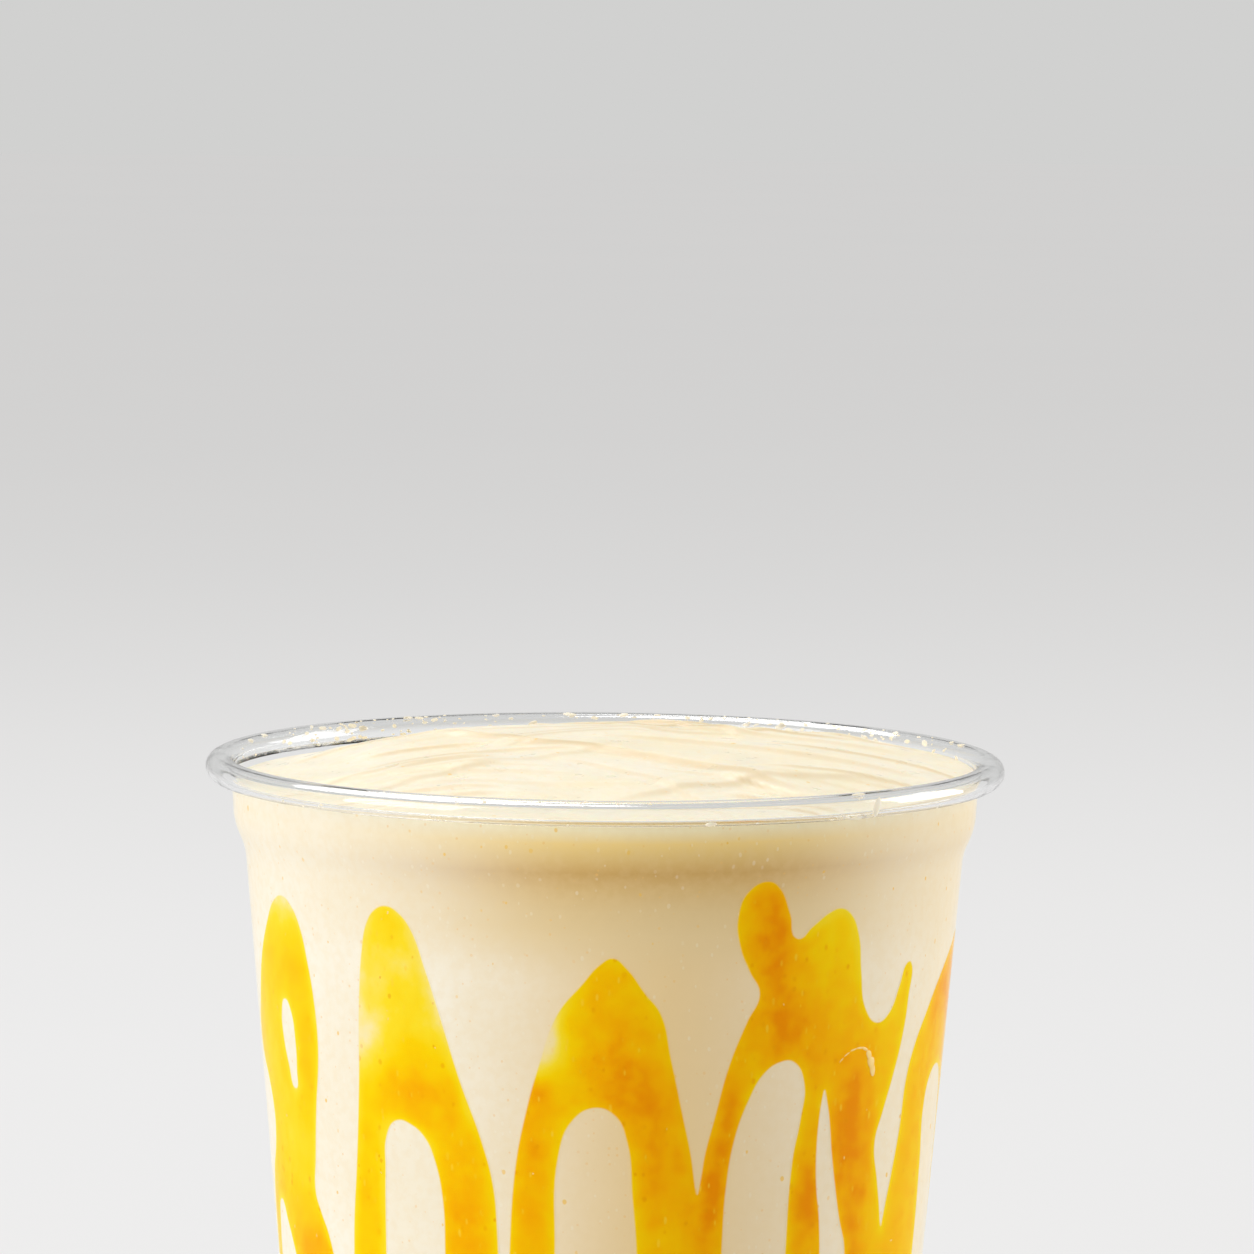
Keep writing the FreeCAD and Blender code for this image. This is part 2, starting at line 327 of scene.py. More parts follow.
def make_drink_group():
    group, given, made = new_group("drink colour", {"Against Wall": "Float"}, {"Color": "Color"})
    place = object_place(group)
    across, _, height = add_node(group, "ShaderNodeSeparateXYZ", Vector=place).outputs
    share = between(group, noise(group, place, 45.0, 4.0), 0.3, 0.7)
    on_top = mix_colours(group, share, OPEN_CREAM, OPEN_PALE)
    # painted shade in the open top's creases, by the crease attribute
    on_top = mix_colours(group, attribute(group, "crease"), on_top, CREASE_SHADE_TAN)
    on_wall = mix_colours(group, share, WALL_CREAM, WALL_PALE)
    # painted shade: a band down the middle, from left of centre to the right, deepened to tan
    rise = between(group, across, -22 * MM, 8 * MM)
    fall = between(group, across, 6 * MM, 32 * MM, 1.0, 0.25)
    on_wall = mix_colours(group, times(group, rise, fall), on_wall, FRONT_SHADE_TAN)
    # painted shade over the ledge and a painted glow under the rim, by height, fading towards both ends
    low, high = NECK_SHADE_AND_GLOW[0][0], NECK_SHADE_AND_GLOW[-1][0]
    up_neck = between(group, height, low * MM, high * MM, easing="LINEAR")
    neck = ramp_of(group, up_neck, [((z - low) / (high - low), shade) for z, shade in NECK_SHADE_AND_GLOW])
    over_wall = between(group, height, 123 * MM, 131 * MM)
    left_half = between(group, across, -38 * MM, 2 * MM, 0.08, 1.0)
    right_end = between(group, across, 14 * MM, 42 * MM, 1.0, 0.2)
    both_ends = times(group, left_half, right_end)
    on_wall = mix_colours(group, times(group, over_wall, both_ends), on_wall, neck)
    blend = mix_colours(group, given["Against Wall"], on_top, on_wall)
    fine = between(group, noise(group, place, 900.0, 3.0), 0.35, 0.7, 0.0, 0.16)
    blend = mix_colours(group, fine, blend, GRAIN)
    blend = with_flecks(group, blend, PALE_FLECK, 0.27, 1000.0, 0.25, 0.35, (1.2, 1.4, 0.8))
    blend = with_flecks(group, blend, PULP, 0.75, 700.0, 0.2, 0.12, (1, 1, 0.8))
    blend = with_flecks(group, blend, SMALL_PULP, 0.45, 1100.0, 0.2, 0.35)
    group.links.new(blend, made["Color"])
    return group


drink_group = make_drink_group()


def drink_colour(tree, against_wall):
    """The drink's colour, with 1 where it lies against the wall and 0 where it is open."""
    return add_node(tree, "ShaderNodeGroup", {"node_tree": drink_group},
                    Against_Wall=against_wall).outputs["Color"]


print("drink colour group has", len(drink_group.nodes), "nodes")

# %% [markdown]
# ## The drink's two finishes
#
# Where the drink lies against the plastic there is no air between them, so nothing shines there: its
# material hardly mirrors at all. Its open top is wet and has a soft shine, and lets light in a
# little way, as milk does, which softens the shadows in its folds. Specular level and subsurface
# are the same all over, so they are plain values on the shader.

# %% Drink materials
def drink_material(name, against_wall, shine, roughness, bump_height, lets_in):
    material, tree = new_material(name)
    ripples = noise(tree, object_place(tree), 260.0, 5.0)
    wetness = between(tree, ripples, 0.3, 0.7, roughness - 0.07, roughness + 0.09)
    shader = add_node(tree, "ShaderNodeBsdfPrincipled", Base_Color=drink_colour(tree, against_wall),
                      Roughness=wetness, Normal=bumped(tree, ripples, bump_height), IOR=1.38,
                      Specular_IOR_Level=shine, Subsurface_Weight=lets_in,
                      Subsurface_Radius=(1.0, 0.7, 0.4), Subsurface_Scale=2.2 * MM)
    finish_material(tree, shader.outputs[0])
    return material


drink_at_wall = drink_material("drink against the wall", 1.0, 0.05, 0.6, 0.04 * MM, 0.0)
drink_open = drink_material("open drink", 0.0, 0.5, 0.34, 0.14 * MM, 0.3)

# %% [markdown]
# ## The cup's section
#
# Everything about the cup is in one line, from the middle of its base out and up to the rolled rim:
# spun round, it is the cup. The line starts as a few corner points, as on a mould drawing, and a
# vertex bevel rounds each corner. A bevel is told how far from the corner it starts, so a radius
# is first turned into that distance.

# %% Section corners
SHEET = 0.5
RECESS, PANEL_RISE, RIB = 3.6, 0.9, 0.9
CORNER_STEPS = 8
NECK_FOOT = (RIM_RADIUS - 3.5, RIM_TOP - 8.2)
LEDGE = (NECK_FOOT[0] - 1.4, RIM_TOP - 11.4)
CORNERS = [
    (0, RECESS + PANEL_RISE + RIB, 0),
    (12.1, RECESS + PANEL_RISE + RIB, 1.2),
    (13.9, RECESS + PANEL_RISE, 1.2),
    (23.5, RECESS, 1.4),
    (25.9, 0, 1.4),
    (32.5, 0, 3.2),
    (LEDGE[0], LEDGE[1], 7.0),
    (NECK_FOOT[0], NECK_FOOT[1], 7.0),
]


def round_corner(bm, corner, radius):
    arms = [edge.other_vert(corner).co - corner.co for edge in corner.link_edges]
    turn = math.pi - arms[0].angle(arms[1])
    bmesh.ops.bevel(bm, geom=[corner], offset=radius * math.tan(turn / 2), offset_type="OFFSET",
                    segments=CORNER_STEPS, profile=0.5, affect="VERTICES", material=-1)


def section_line(end):
    """The sheet's outside as a chain of edges in the plane y = 0, from the axis up to an end point."""
    bm = bmesh.new()
    chain = [bm.verts.new((radius * MM, 0, height * MM)) for radius, height, _ in CORNERS]
    chain.append(bm.verts.new((end[0] * MM, 0, end[1] * MM)))
    for lower, upper in zip(chain, chain[1:]):
        bm.edges.new((lower, upper))
    for corner, (_, _, rounding) in list(zip(chain, CORNERS))[1:]:
        round_corner(bm, corner, rounding * MM)
    return bm


# %% [markdown]
# ## The rolled rim
#
# A cut sheet is sharp, so the rim is heated and rolled outwards into a hollow curl: that is what lips
# touch and what a lid snaps over. The chain's last point is spun up and over the curl's hollow,
# carried across a short flat top, and spun on until it points back at the neck.

# %% Curl
CURL_HOLLOW = 1.0
CURL_FLAT = 0.6
CURL_HEIGHT = RIM_TOP - CURL_HOLLOW - SHEET
OUTER_CENTRE = (RIM_RADIUS - CURL_HOLLOW - SHEET, CURL_HEIGHT)
INNER_CENTRE = (OUTER_CENTRE[0] - CURL_FLAT, CURL_HEIGHT)
CURL_TURN = math.radians(290)


def curl_start():
    """The angle round the first centre at which the neck, a tangent, runs into the curl."""
    across, rise = INNER_CENTRE[0] - NECK_FOOT[0], INNER_CENTRE[1] - NECK_FOOT[1]
    return math.atan2(rise, across) + math.pi - math.acos(CURL_HOLLOW / math.hypot(across, rise))


def tip_of(bm):
    """The chain's outer end."""
    return [vert for vert in bm.verts if len(vert.link_edges) == 1 and vert.co.x > MM][0]


def spin_on(bm, tip, centre, angle, steps):
    """Spins the chain's tip round a centre in its own plane, and returns the new tip."""
    bmesh.ops.spin(bm, geom=[tip], cent=(centre[0] * MM, 0, centre[1] * MM), axis=(0, 1, 0),
                   angle=angle, steps=steps, use_merge=False, use_duplicate=False)
    return tip_of(bm)


START_ANGLE = curl_start()
TANGENT = (INNER_CENTRE[0] + math.cos(START_ANGLE) * CURL_HOLLOW,
           INNER_CENTRE[1] + math.sin(START_ANGLE) * CURL_HOLLOW)


def cup_section():
    bm = section_line(TANGENT)
    to_top = START_ANGLE - math.pi / 2
    tip = spin_on(bm, tip_of(bm), INNER_CENTRE, to_top, 9)
    across = bmesh.ops.extrude_vert_indiv(bm, verts=[tip])["verts"]
    bmesh.ops.translate(bm, verts=across, vec=(CURL_FLAT * MM, 0, 0))
    spin_on(bm, across[0], OUTER_CENTRE, CURL_TURN - to_top, 20)
    return bm


# %% Turn a section into a body
FULL_TURN = 2 * math.pi
CUP_STEPS, DRINK_STEPS = 288, 448


def open_edges(bm):
    """How many edges don't lie between exactly two faces."""
    return len([edge for edge in bm.edges if len(edge.link_faces) != 2])


def spun(bm, steps):
    """Spins the whole chain once round the cup's axis, closes it, and faces it away from the drink."""
    bmesh.ops.spin(bm, geom=bm.verts[:] + bm.edges[:], cent=(0, 0, 0), axis=(0, 0, 1),
                   angle=FULL_TURN, steps=steps, use_merge=True, use_duplicate=False)
    bmesh.ops.remove_doubles(bm, verts=bm.verts[:], dist=0.002 * MM)
    bmesh.ops.recalc_face_normals(bm, faces=bm.faces[:])
    underneath = [face.normal.z for face in bm.faces if face.calc_center_median().z < 0.1 * MM]
    if sum(underneath) > 0:
        bmesh.ops.reverse_faces(bm, faces=bm.faces[:])
    return bm


cup_bm = spun(cup_section(), CUP_STEPS)
bmesh.ops.solidify(cup_bm, geom=cup_bm.faces[:], thickness=SHEET * MM)
print("the cup's plastic is", round(cup_bm.calc_volume(signed=True) * 1e6, 2), "cubic cm,",
      open_edges(cup_bm), "open edges")

# %% [markdown]
# ## Clear plastic
#
# The sheet bends light, so it is a glass-like Principled shader with a plain Transmission Weight of
# 1. Bent light from lamps reaches what is behind glass only by luck, as bright specks of noise. So
# lamps, and light thrown on from other surfaces, are let straight through by a Transparent shader,
# picked by Light Path. The rolled rim is thick and round and gathers light, so it lets less through,
# which leaves the soft shadow that a real rim drops on the shoulder under it.
#
# The bare rim bends light as real plastic does, 1.5. The wall is set far lower, at 1.05: as strong
# as it is in real plastic, its mirroring would lay a haze of the pale surround over the sauce.

# %% Clear plastic
def make_flow_group():
    """Faint waves left by forming the warm sheet, and small scuffs, as a height and a roughness."""
    group, given, made = new_group("formed plastic", {"Smooth": "Float", "Scuffed": "Float"},
                                   {"Height": "Float", "Roughness": "Float"})
    place = object_place(group)
    drawn = add_node(group, "ShaderNodeMapping", Vector=place, Scale=(1, 1, 0.25)).outputs[0]
    scuffs = noise(group, place, 700.0, 4.0)
    height = calculate(group, "MULTIPLY_ADD", scuffs, 0.06, noise(group, drawn, 130.0, 2.0))
    worn = between(group, scuffs, 0.55, 0.75)
    roughness = calculate(group, "MULTIPLY_ADD", worn, given["Scuffed"], given["Smooth"])
    group.links.new(height, made["Height"])
    group.links.new(roughness, made["Roughness"])
    return group


flow_group = make_flow_group()


WALL_BENDS, RIM_BENDS = 1.05, 1.5
RIM_FOOT = RIM_TOP - 3.2
BARELY_BLUE = (0.985, 0.99, 0.99, 1)


def clear_plastic(name, bends, lets_through, bump_height):
    material, tree = new_material(name)
    flow = add_node(tree, "ShaderNodeGroup", {"node_tree": flow_group}, Smooth=0.015, Scuffed=0.05)
    plastic = add_node(tree, "ShaderNodeBsdfPrincipled", Base_Color=BARELY_BLUE, IOR=bends,
                       Transmission_Weight=1.0, Roughness=flow.outputs["Roughness"],
                       Normal=bumped(tree, flow.outputs["Height"], bump_height)).outputs[0]
    open_way = add_node(tree, "ShaderNodeBsdfTransparent", Color=(*[lets_through] * 3, 1)).outputs[0]
    path = add_node(tree, "ShaderNodeLightPath").outputs
    thrown_on = mix_shaders(tree, path["Is Diffuse Ray"], plastic, open_way)
    finish_material(tree, mix_shaders(tree, path["Is Shadow Ray"], thrown_on, open_way))
    return material


wall_plastic = clear_plastic("clear plastic wall", WALL_BENDS, 0.99, 0.01 * MM)
rim_plastic = clear_plastic("clear plastic rim", RIM_BENDS, 0.95, 0.02 * MM)
for face in cup_bm.faces:
    face.material_index = int(face.calc_center_median().z > RIM_FOOT * MM)
piece_from("clear_cup", cup_bm, [wall_plastic, rim_plastic], ["cup"])

# %% [markdown]
# ## The drink
#
# The drink takes the cup's own inside as its side, so the same section makes it, moved in by the
# thickness of the sheet. It goes a tenth of a millimetre into the plastic: a gap of air there would
# mirror like a bubble. Its top is a disc of close rings whose points are then lifted.

# %% The drink's section
INTO_WALL = 0.12
LEVEL = RIM_TOP - 3.2
MOUTH = RIM_RADIUS - 3.6
RINGS = 140
PAST_FOOT = 29  # the radius beyond which the section is wall and not base


def in_order(bm):
    """The chain's points from the axis outwards."""
    ends = [vert for vert in bm.verts if len(vert.link_edges) == 1]
    point = min(ends, key=lambda vert: vert.co.x)
    walked = [point]
    before = None
    while len(walked) < len(bm.verts):
        onward = [e.other_vert(point) for e in point.link_edges if e.other_vert(point) is not before]
        before, point = point, onward[0]
        walked.append(point)
    return walked


def move_towards_drink(points, distance):
    """Moves a chain sideways, each point along the middle of its two edges' directions."""
    places = np.array([(point.co.x, point.co.z) for point in points])
    runs = np.diff(places, axis=0)
    runs /= np.linalg.norm(runs, axis=1)[:, None]
    along = np.vstack([runs[:1], runs[:-1] + runs[1:], runs[-1:]])
    along /= np.linalg.norm(along, axis=1)[:, None]
    along[0] = (1, 0)
    for point, (x, z) in zip(points, along):
        point.co += Vector((-z, 0, x)) * distance


rise = (LEVEL - NECK_FOOT[1]) / (TANGENT[1] - NECK_FOOT[1])
level_end = (NECK_FOOT[0] + (TANGENT[0] - NECK_FOOT[0]) * rise, LEVEL)
drink_bm = section_line(level_end)
wall_points = in_order(drink_bm)
move_towards_drink(wall_points, (SHEET - INTO_WALL) * MM)
WALL = np.array([(point.co.x, point.co.z) for point in wall_points if point.co.x > PAST_FOOT * MM])
edge = wall_points[-1]
edge_radius = edge.co.x
for ring in range(1, RINGS + 1):
    edge = bmesh.ops.extrude_vert_indiv(drink_bm, verts=[edge])["verts"][0]
    edge.co = (edge_radius * (1 - ring / RINGS), 0, LEVEL * MM)
spun(drink_bm, DRINK_STEPS)
print("the drink meets the wall at radius", round(edge_radius / MM, 2), "mm")


def wall_radius(height):
    """Radius of the cup's inside at heights in metres, as the drink fills it."""
    order = np.argsort(WALL[:, 1])
    return np.interp(height, WALL[order, 1], WALL[order, 0])


# %% [markdown]
# ## The drink's folds
#
# Thick frappe is spooned or poured in ropes that sink into each other, so its top stands over the
# rim in a low dome with soft lips and creases, banked a little against one side of the wall. A fold
# is a line on the top with one steep and one gentle flank. A few big ones are listed, where they are
# seen most, and a scatter of thin ones runs beside them. Where a flank is steep, each point also
# keeps how much of a crease it is, which the material paints as tan: painted shade in the creases.
# Crests that would rise past the imported model's box are eased under it with an exponential curve,
# where clipping them would leave a plateau.

# %% Folds
DOME_RISE = 4.4
BANK_RISE = 1.6
BANK_FACING = math.radians(25)
SOFTENED = 0.5  # the crests' last half millimetre levels off under the ceiling
CREASE_GAIN, CREASE_FROM, DEEPEST_CREASE = 2.8, 0.34, 0.85
BIG_FOLDS = [
    # start, end, height, flank on the left, flank on the right, bow
    ((-34, 4), (6, 13), 1.1, 7.0, 8.0, 2.0),
    ((-21, 10), (24, -28), 0.8, 9.0, 1.6, 0.8),
    ((-19, -19), (3, -2), 0.4, 6.0, 1.6, -0.8),
    ((-38, -20), (-2, -24), 0.5, 5.0, 1.6, 3.0),
    ((-32, -21), (8, -28), 0.4, 5.0, 1.6, -2.0),
    ((0, -35), (34, -16), 0.5, 6.0, 1.6, 1.5),
    ((-2, 5), (40, -12), 0.55, 6.0, 1.8, 2.5),
    ((2, 20), (39, 6), 0.5, 7.0, 1.8, 3.0),
    ((-30, 22), (14, 31), 0.5, 3.0, 7.0, 3.0),
]


def thin_folds(count, seed):
    """Fine lips that climb towards the middle of the back from both sides, steep side to the front."""
    chance = random.Random(seed)
    folds = []
    for _ in range(count):
        middle = Vector((chance.uniform(-36, 36), chance.uniform(-36, 36)))
        heading = math.radians(chance.gauss(-36, 13) if middle.x > 0 else chance.gauss(24, 13))
        half = Vector((math.cos(heading), math.sin(heading))) * chance.uniform(6, 19)
        steep, gentle = chance.uniform(0.85, 1.3), chance.uniform(2.4, 5.0)
        height = chance.uniform(0.2, 0.5)
        bow = chance.uniform(0.6, 3.8)
        folds.append((middle - half, middle + half, height, gentle, steep, bow))
    return folds


def fold_at(x, y, fold):
    """Height that one fold adds at points given in millimetres, and how steep its flank is there."""
    (start_x, start_y), (end_x, end_y), height, left, right, bow = fold
    run_x, run_y = end_x - start_x, end_y - start_y
    length = math.hypot(run_x, run_y)
    share = ((x - start_x) * run_x + (y - start_y) * run_y) / length**2
    to_left = ((y - start_y) * run_x - (x - start_x) * run_y) / length
    from_middle = 2 * share - 1
    to_left = to_left - bow * (1 - from_middle**2)
    flank = np.where(to_left > 0, left, right)
    lift = height * np.exp(-((to_left / flank) ** 2) - from_middle**6)
    return lift, lift * 2 * np.abs(to_left) / flank**2


# each point of the top keeps its share of painted crease shade
crease_shade_layer = drink_bm.verts.layers.float.new("crease")
top_points = [v for v in drink_bm.verts if v.co.z > (LEVEL - 0.01) * MM]
x, y = (np.array([v.co[axis] / MM for v in top_points]) for axis in (0, 1))
inward = np.clip(1 - (x**2 + y**2) / MOUTH**2, 0, None)
lifts, slopes = zip(*(fold_at(x, y, fold) for fold in BIG_FOLDS + thin_folds(36, 11)))
folds = sum(lifts)
creases = np.clip(np.max(slopes, axis=0) * CREASE_GAIN - CREASE_FROM, 0, DEEPEST_CREASE)
to_bank = np.clip(x * math.cos(BANK_FACING) + y * math.sin(BANK_FACING), 0, None) / MOUTH
heights = LEVEL + DOME_RISE * inward + BANK_RISE * to_bank**1.5
heights = heights + folds * np.clip(4 * inward, 0, 1)
ceiling = cad_box[1][2] / MM - 0.02
over = np.clip(heights - (ceiling - SOFTENED), 0, None)
heights = np.where(over > 0, ceiling - SOFTENED * np.exp(-over / SOFTENED), heights)
for point, height, crease in zip(top_points, heights, creases):
    point.co.z = float(height) * MM
    point[crease_shade_layer] = float(crease)
print("the drink's dome stands", round(float(heights.max() - RIM_TOP), 2), "mm over the rim")

# %% The drink
for face in drink_bm.faces:
    near_top = face.calc_center_median().z > 0.99 * LEVEL * MM
    face.material_index = int(near_top and face.normal.z > 0.5)
piece_from("mango_frappe", drink_bm, [drink_at_wall, drink_open], ["frappe"])

# %% [markdown]
# ## Where the sauce runs
#
# The barista squeezes sauce round the inside of the wall in tall loops, and it creeps down in
# strands. It lies flat against the clear wall, so what shows is a drawing on the cup. Each swirl is
# therefore drawn as a closed line on the unrolled wall, as (degrees from the front, height), with
# the gaps inside it. Pools say where the sauce is deep and orange or thin and pale:
# (degrees, height, how wide, how tall, how much). The back has turned and mirrored copies.

# %% Swirls
SHARP = True  # marks a point where the line turns sharply
SWIRL_TOPS = 132  # the height that stays put when a copy is stretched
TALL_SWIRL = {
    "edge": [
        (-48.5, 60), (-48.5, 75), (-47.5, 91), (-45.5, 101), (-44, 110.5), (-43, 120), (-41.7, 126.5),
        (-40.5, 129.5), (-38.5, 131.4), (-36, 132), (-33.5, 131.2), (-31.5, 129.5), (-29, 124.7),
        (-26.5, 119), (-23.3, 111.5), (-20, 105), (-18, 99.5), (-17.4, 94), (-17.4, 80), (-18.5, 60),
        (-22, 42), (-26, 57), (-27, 75), (-27.5, 90), (-27.6, 97), (-29, 102), (-30.5, 104.2),
        (-33, 105.6), (-36, 105.9), (-38, 104), (-38.6, 100), (-39.4, 89.5), (-40.5, 75), (-41.5, 58),
        (-45, 36),
    ],
    "depth": 0.46,
    "pools": [
        (-36, 131, 4, 2.5, 0.06), (-36, 123, 11, 8, -0.3), (-34.5, 121.5, 4, 2.5, 0.12),
        (-41.5, 115, 4, 5, -0.3), (-32, 114.5, 4, 2.5, 0.08), (-27.5, 118, 3, 7, -0.14),
        (-22.5, 109, 1.8, 4, -0.2),
        (-33, 109.5, 10, 3.4, 0.26), (-24, 98, 5, 12, 0.26), (-43.5, 99, 3, 12, 0.06),
        (-22, 78, 5, 14, 0.28), (-45, 70, 4, 18, 0.12),
    ],
}
LOOPED_SWIRL = {
    "edge": [
        (-85, 60), (-84, 80), (-82, 92), (-80, 95.5), (-76.5, 99), (-75.5, 103), (-78, 107),
        (-82, 110), (-83, 113), (-80, 117), (-76, 122), (-70.5, 127), (-66.5, 130), (-62.6, 131),
        (-59.5, 130), (-57.3, 128), (-55.2, 123), (-54.2, 119), (-53.8, 114.5), (-54.2, 111),
        (-55.6, 106), (-57, 99.5), (-57.8, 95), (-56.5, 93), (-54.5, 90.5), (-53, 87), (-51.8, 80),
        (-52, 64), (-55.5, 44), (-59.5, 60), (-62, 77), (-68.5, 86), (-72, 90), (-75, 92.2),
        (-77.5, 89), (-78.5, 80), (-79.5, 65), (-82.5, 49),
    ],
    "gaps": [
        [(-64.5, 118), (-66.1, 116.2), (-66.1, 113.6), (-64.6, 110), (-62.7, 107.5), (-62, 109.7),
         (-61.8, 113.3), (-62.7, 116.8)],
    ],
    "depth": 0.44,
    "pools": [
        (-62.5, 130, 8, 3.5, -0.3), (-63, 122, 7, 3, 0.12), (-57.5, 112, 3, 8, 0.08),
        (-74, 112, 6, 8, -0.1), (-64, 101, 9, 5, -0.16), (-60, 87, 7, 6, 0.36), (-55, 66, 4, 14, 0.2),
    ],
}
FRONT_SWIRLS = {
    "edge": [
        (-12.5, 38), (-16, 55), (-16.5, 72), (-15.7, 91), (-14.4, 102), (-12.7, 108), (-10.4, 114),
        (-7.2, 120.5), (-3.4, 124), (-0.6, 126.4), (1.5, 127.2), (3.7, 126), (6.7, 123), (9.3, 120.5),
        (11.2, 115), (13.3, 108.5), (15.1, 103), (15.65, 100.6), (16.1, 98.6, SHARP),
        (16.55, 100.7), (17, 103.2), (18.4, 107.5), (20.7, 114.2),
        (23.4, 119.2), (25.3, 122.3), (23.4, 125), (21.6, 128), (21, 131.8), (22.8, 135), (25.6, 136),
        (28, 135.1), (30.4, 131.7), (31.9, 128.8), (34.3, 130), (38, 131.7), (40, 132), (42.3, 131.2),
        (44.6, 128.3), (45.8, 123.8), (47.5, 119.3), (50.7, 117.4), (53.8, 118.4), (56, 121.3),
        (57.9, 124), (59.4, 124), (59.7, 119.5), (58.9, 115), (56.9, 110.3), (54.6, 106), (53, 102.5),
        (54.8, 97.5), (56.1, 94.4), (57, 91.8, SHARP), (57.7, 94.3), (58.9, 98), (60.4, 103.5),
        (61.2, 109.5), (63.2, 113.2), (67.2, 117),
        (72, 120.4), (80, 124), (86, 125.5), (90.5, 122.5), (93.5, 116), (95, 107), (95.5, 95),
        (95.5, 76), (94, 60), (91, 44), (88, 60), (87, 78), (84, 94), (82.5, 104), (80.5, 108),
        (77, 109.5), (73, 108.5), (71, 105.5), (72, 98), (72.8, 90), (72, 75), (70.5, 58), (66.5, 38),
        (63, 54), (61.5, 70), (59.5, 79), (57.5, 72), (56, 57), (51.5, 33), (47.8, 52), (47.3, 72),
        (46.6, 90), (44.6, 94), (42.9, 98.4), (41.5, 102.7), (40.9, 105.2), (40.3, 107.2), (39.7, 108.7),
        (39.3, 109.9, SHARP), (39, 108.6), (38.75, 107), (38.6, 103), (39.1, 98.4), (40.3, 94),
        (41.3, 86), (41.4, 77), (40, 60), (36, 41), (33.3, 58), (32.9, 75), (33, 90), (33.3, 102),
        (34.4, 106.8), (34.7, 111), (32.4, 113.7), (30, 113.8), (27.2, 112.6), (24.6, 109.4),
        (22.5, 105), (21.4, 99.5), (21.1, 93), (21.5, 77), (21.5, 58), (19.3, 30), (17.3, 52),
        (16.6, 68), (15.3, 77), (14.2, 68), (13.5, 52), (10.5, 34), (7, 52), (6, 70), (5.9, 91.5),
        (5, 98.5), (4, 105), (1.9, 108.2), (-1.3, 109), (-4.8, 107.3), (-6.8, 103.5), (-7.5, 91.4),
        (-8.2, 72), (-8.8, 54),
    ],
    "depth": 0.56,
    "pools": [
        (1, 126, 6, 3, 0.08), (-9, 116.5, 3.4, 5, -0.57), (2, 117, 6, 6, 0.24),
        (5, 110, 7, 5, 0.3), (10, 101, 4, 10, 0.28), (-11.5, 107, 4, 6, 0.24),
        (-10.5, 111.3, 3.5, 2.2, 0.3), (-12, 95, 4, 8, 0.12),
        (27, 130, 5, 6, 0.42), (28.5, 119, 6, 6, 0.26), (21, 108, 3, 8, 0.26), (18.5, 97, 4, 9, 0.34),
        (40, 129, 6, 5, -0.16), (36, 116, 6, 5, 0.24), (46, 105, 5, 9, 0.42), (38, 97, 4, 9, 0.4),
        (48, 90, 5, 8, 0.34), (57.5, 121, 2, 5, -0.04), (52, 113, 4, 4, 0.06),
        (78, 119, 9, 5, 0.3), (66, 108, 4, 6, 0.1), (64, 96, 4, 6, 0.06), (60, 86, 4, 5, 0.1),
    ],
}


def turned(swirl, mirror_about, turn, stretch):
    """A copy of a swirl, mirrored about one bearing and turned round the cup, a little deeper."""
    def place(point):
        height = SWIRL_TOPS + (point[1] - SWIRL_TOPS) * stretch
        return (2 * mirror_about - point[0] + turn, height) + tuple(point[2:])

    return {
        "edge": [place(point) for point in swirl["edge"]],
        "gaps": [[place(point) for point in gap] for gap in swirl.get("gaps", [])],
        "depth": swirl["depth"] + 0.05,
        "pools": [place(pool) for pool in swirl["pools"]],
    }


SWIRLS = [
    LOOPED_SWIRL, TALL_SWIRL, FRONT_SWIRLS,
    turned(TALL_SWIRL, -33, 146, 0.96), turned(LOOPED_SWIRL, -68, 216, 1.03),
    turned(TALL_SWIRL, -33, 215, 1.05), turned(LOOPED_SWIRL, -68, 285, 0.95),
    turned(TALL_SWIRL, -33, 288, 0.98),
]
print(len(SWIRLS), "swirls go round the cup")

# %% [markdown]
# ## From a drawn line to a body of sauce
#
# A curve through the drawn points, with automatic handles, gives each line its soft bends, and
# straight handles keep the sharp points sharp. A fine grid is laid over the drawing, finer in front
# than at the back. Faces outside the line are deleted, and the points left along the cut are moved
# onto the line. Every point keeps two numbers for the material: how far it is from the edge, and
# how deep its pool is. Then the sheet is given its thickness and wrapped on the wall.

# %% Draw, cut and measure
ARC = 41.0  # millimetres of radius at which a degree is measured on the unrolled wall
BATCH = 4000  # points measured at a time, to spare memory


def unrolled(points):
    return np.array([(math.radians(point[0]) * ARC, point[1]) for point in points])


def soft_line(points):
    """Closely spaced points on a closed curve through the given ones."""
    curve = bpy.data.curves.new("drawn line", "CURVE")
    curve.resolution_u = 8
    spline = curve.splines.new("BEZIER")
    spline.bezier_points.add(len(points) - 1)
    spline.use_cyclic_u = True
    for knot, point, (across, height) in zip(spline.bezier_points, points, unrolled(points)):
        knot.handle_left_type = knot.handle_right_type = "VECTOR" if SHARP in point[2:] else "AUTO"
        knot.co = (across, height, 0)
    drawn = bpy.data.objects.new("drawn line", curve)
    mesh = bpy.data.meshes.new_from_object(drawn)
    line = np.array([vert.co[:2] for vert in mesh.vertices])
    bpy.data.objects.remove(drawn)
    bpy.data.curves.remove(curve)
    bpy.data.meshes.remove(mesh)
    return line


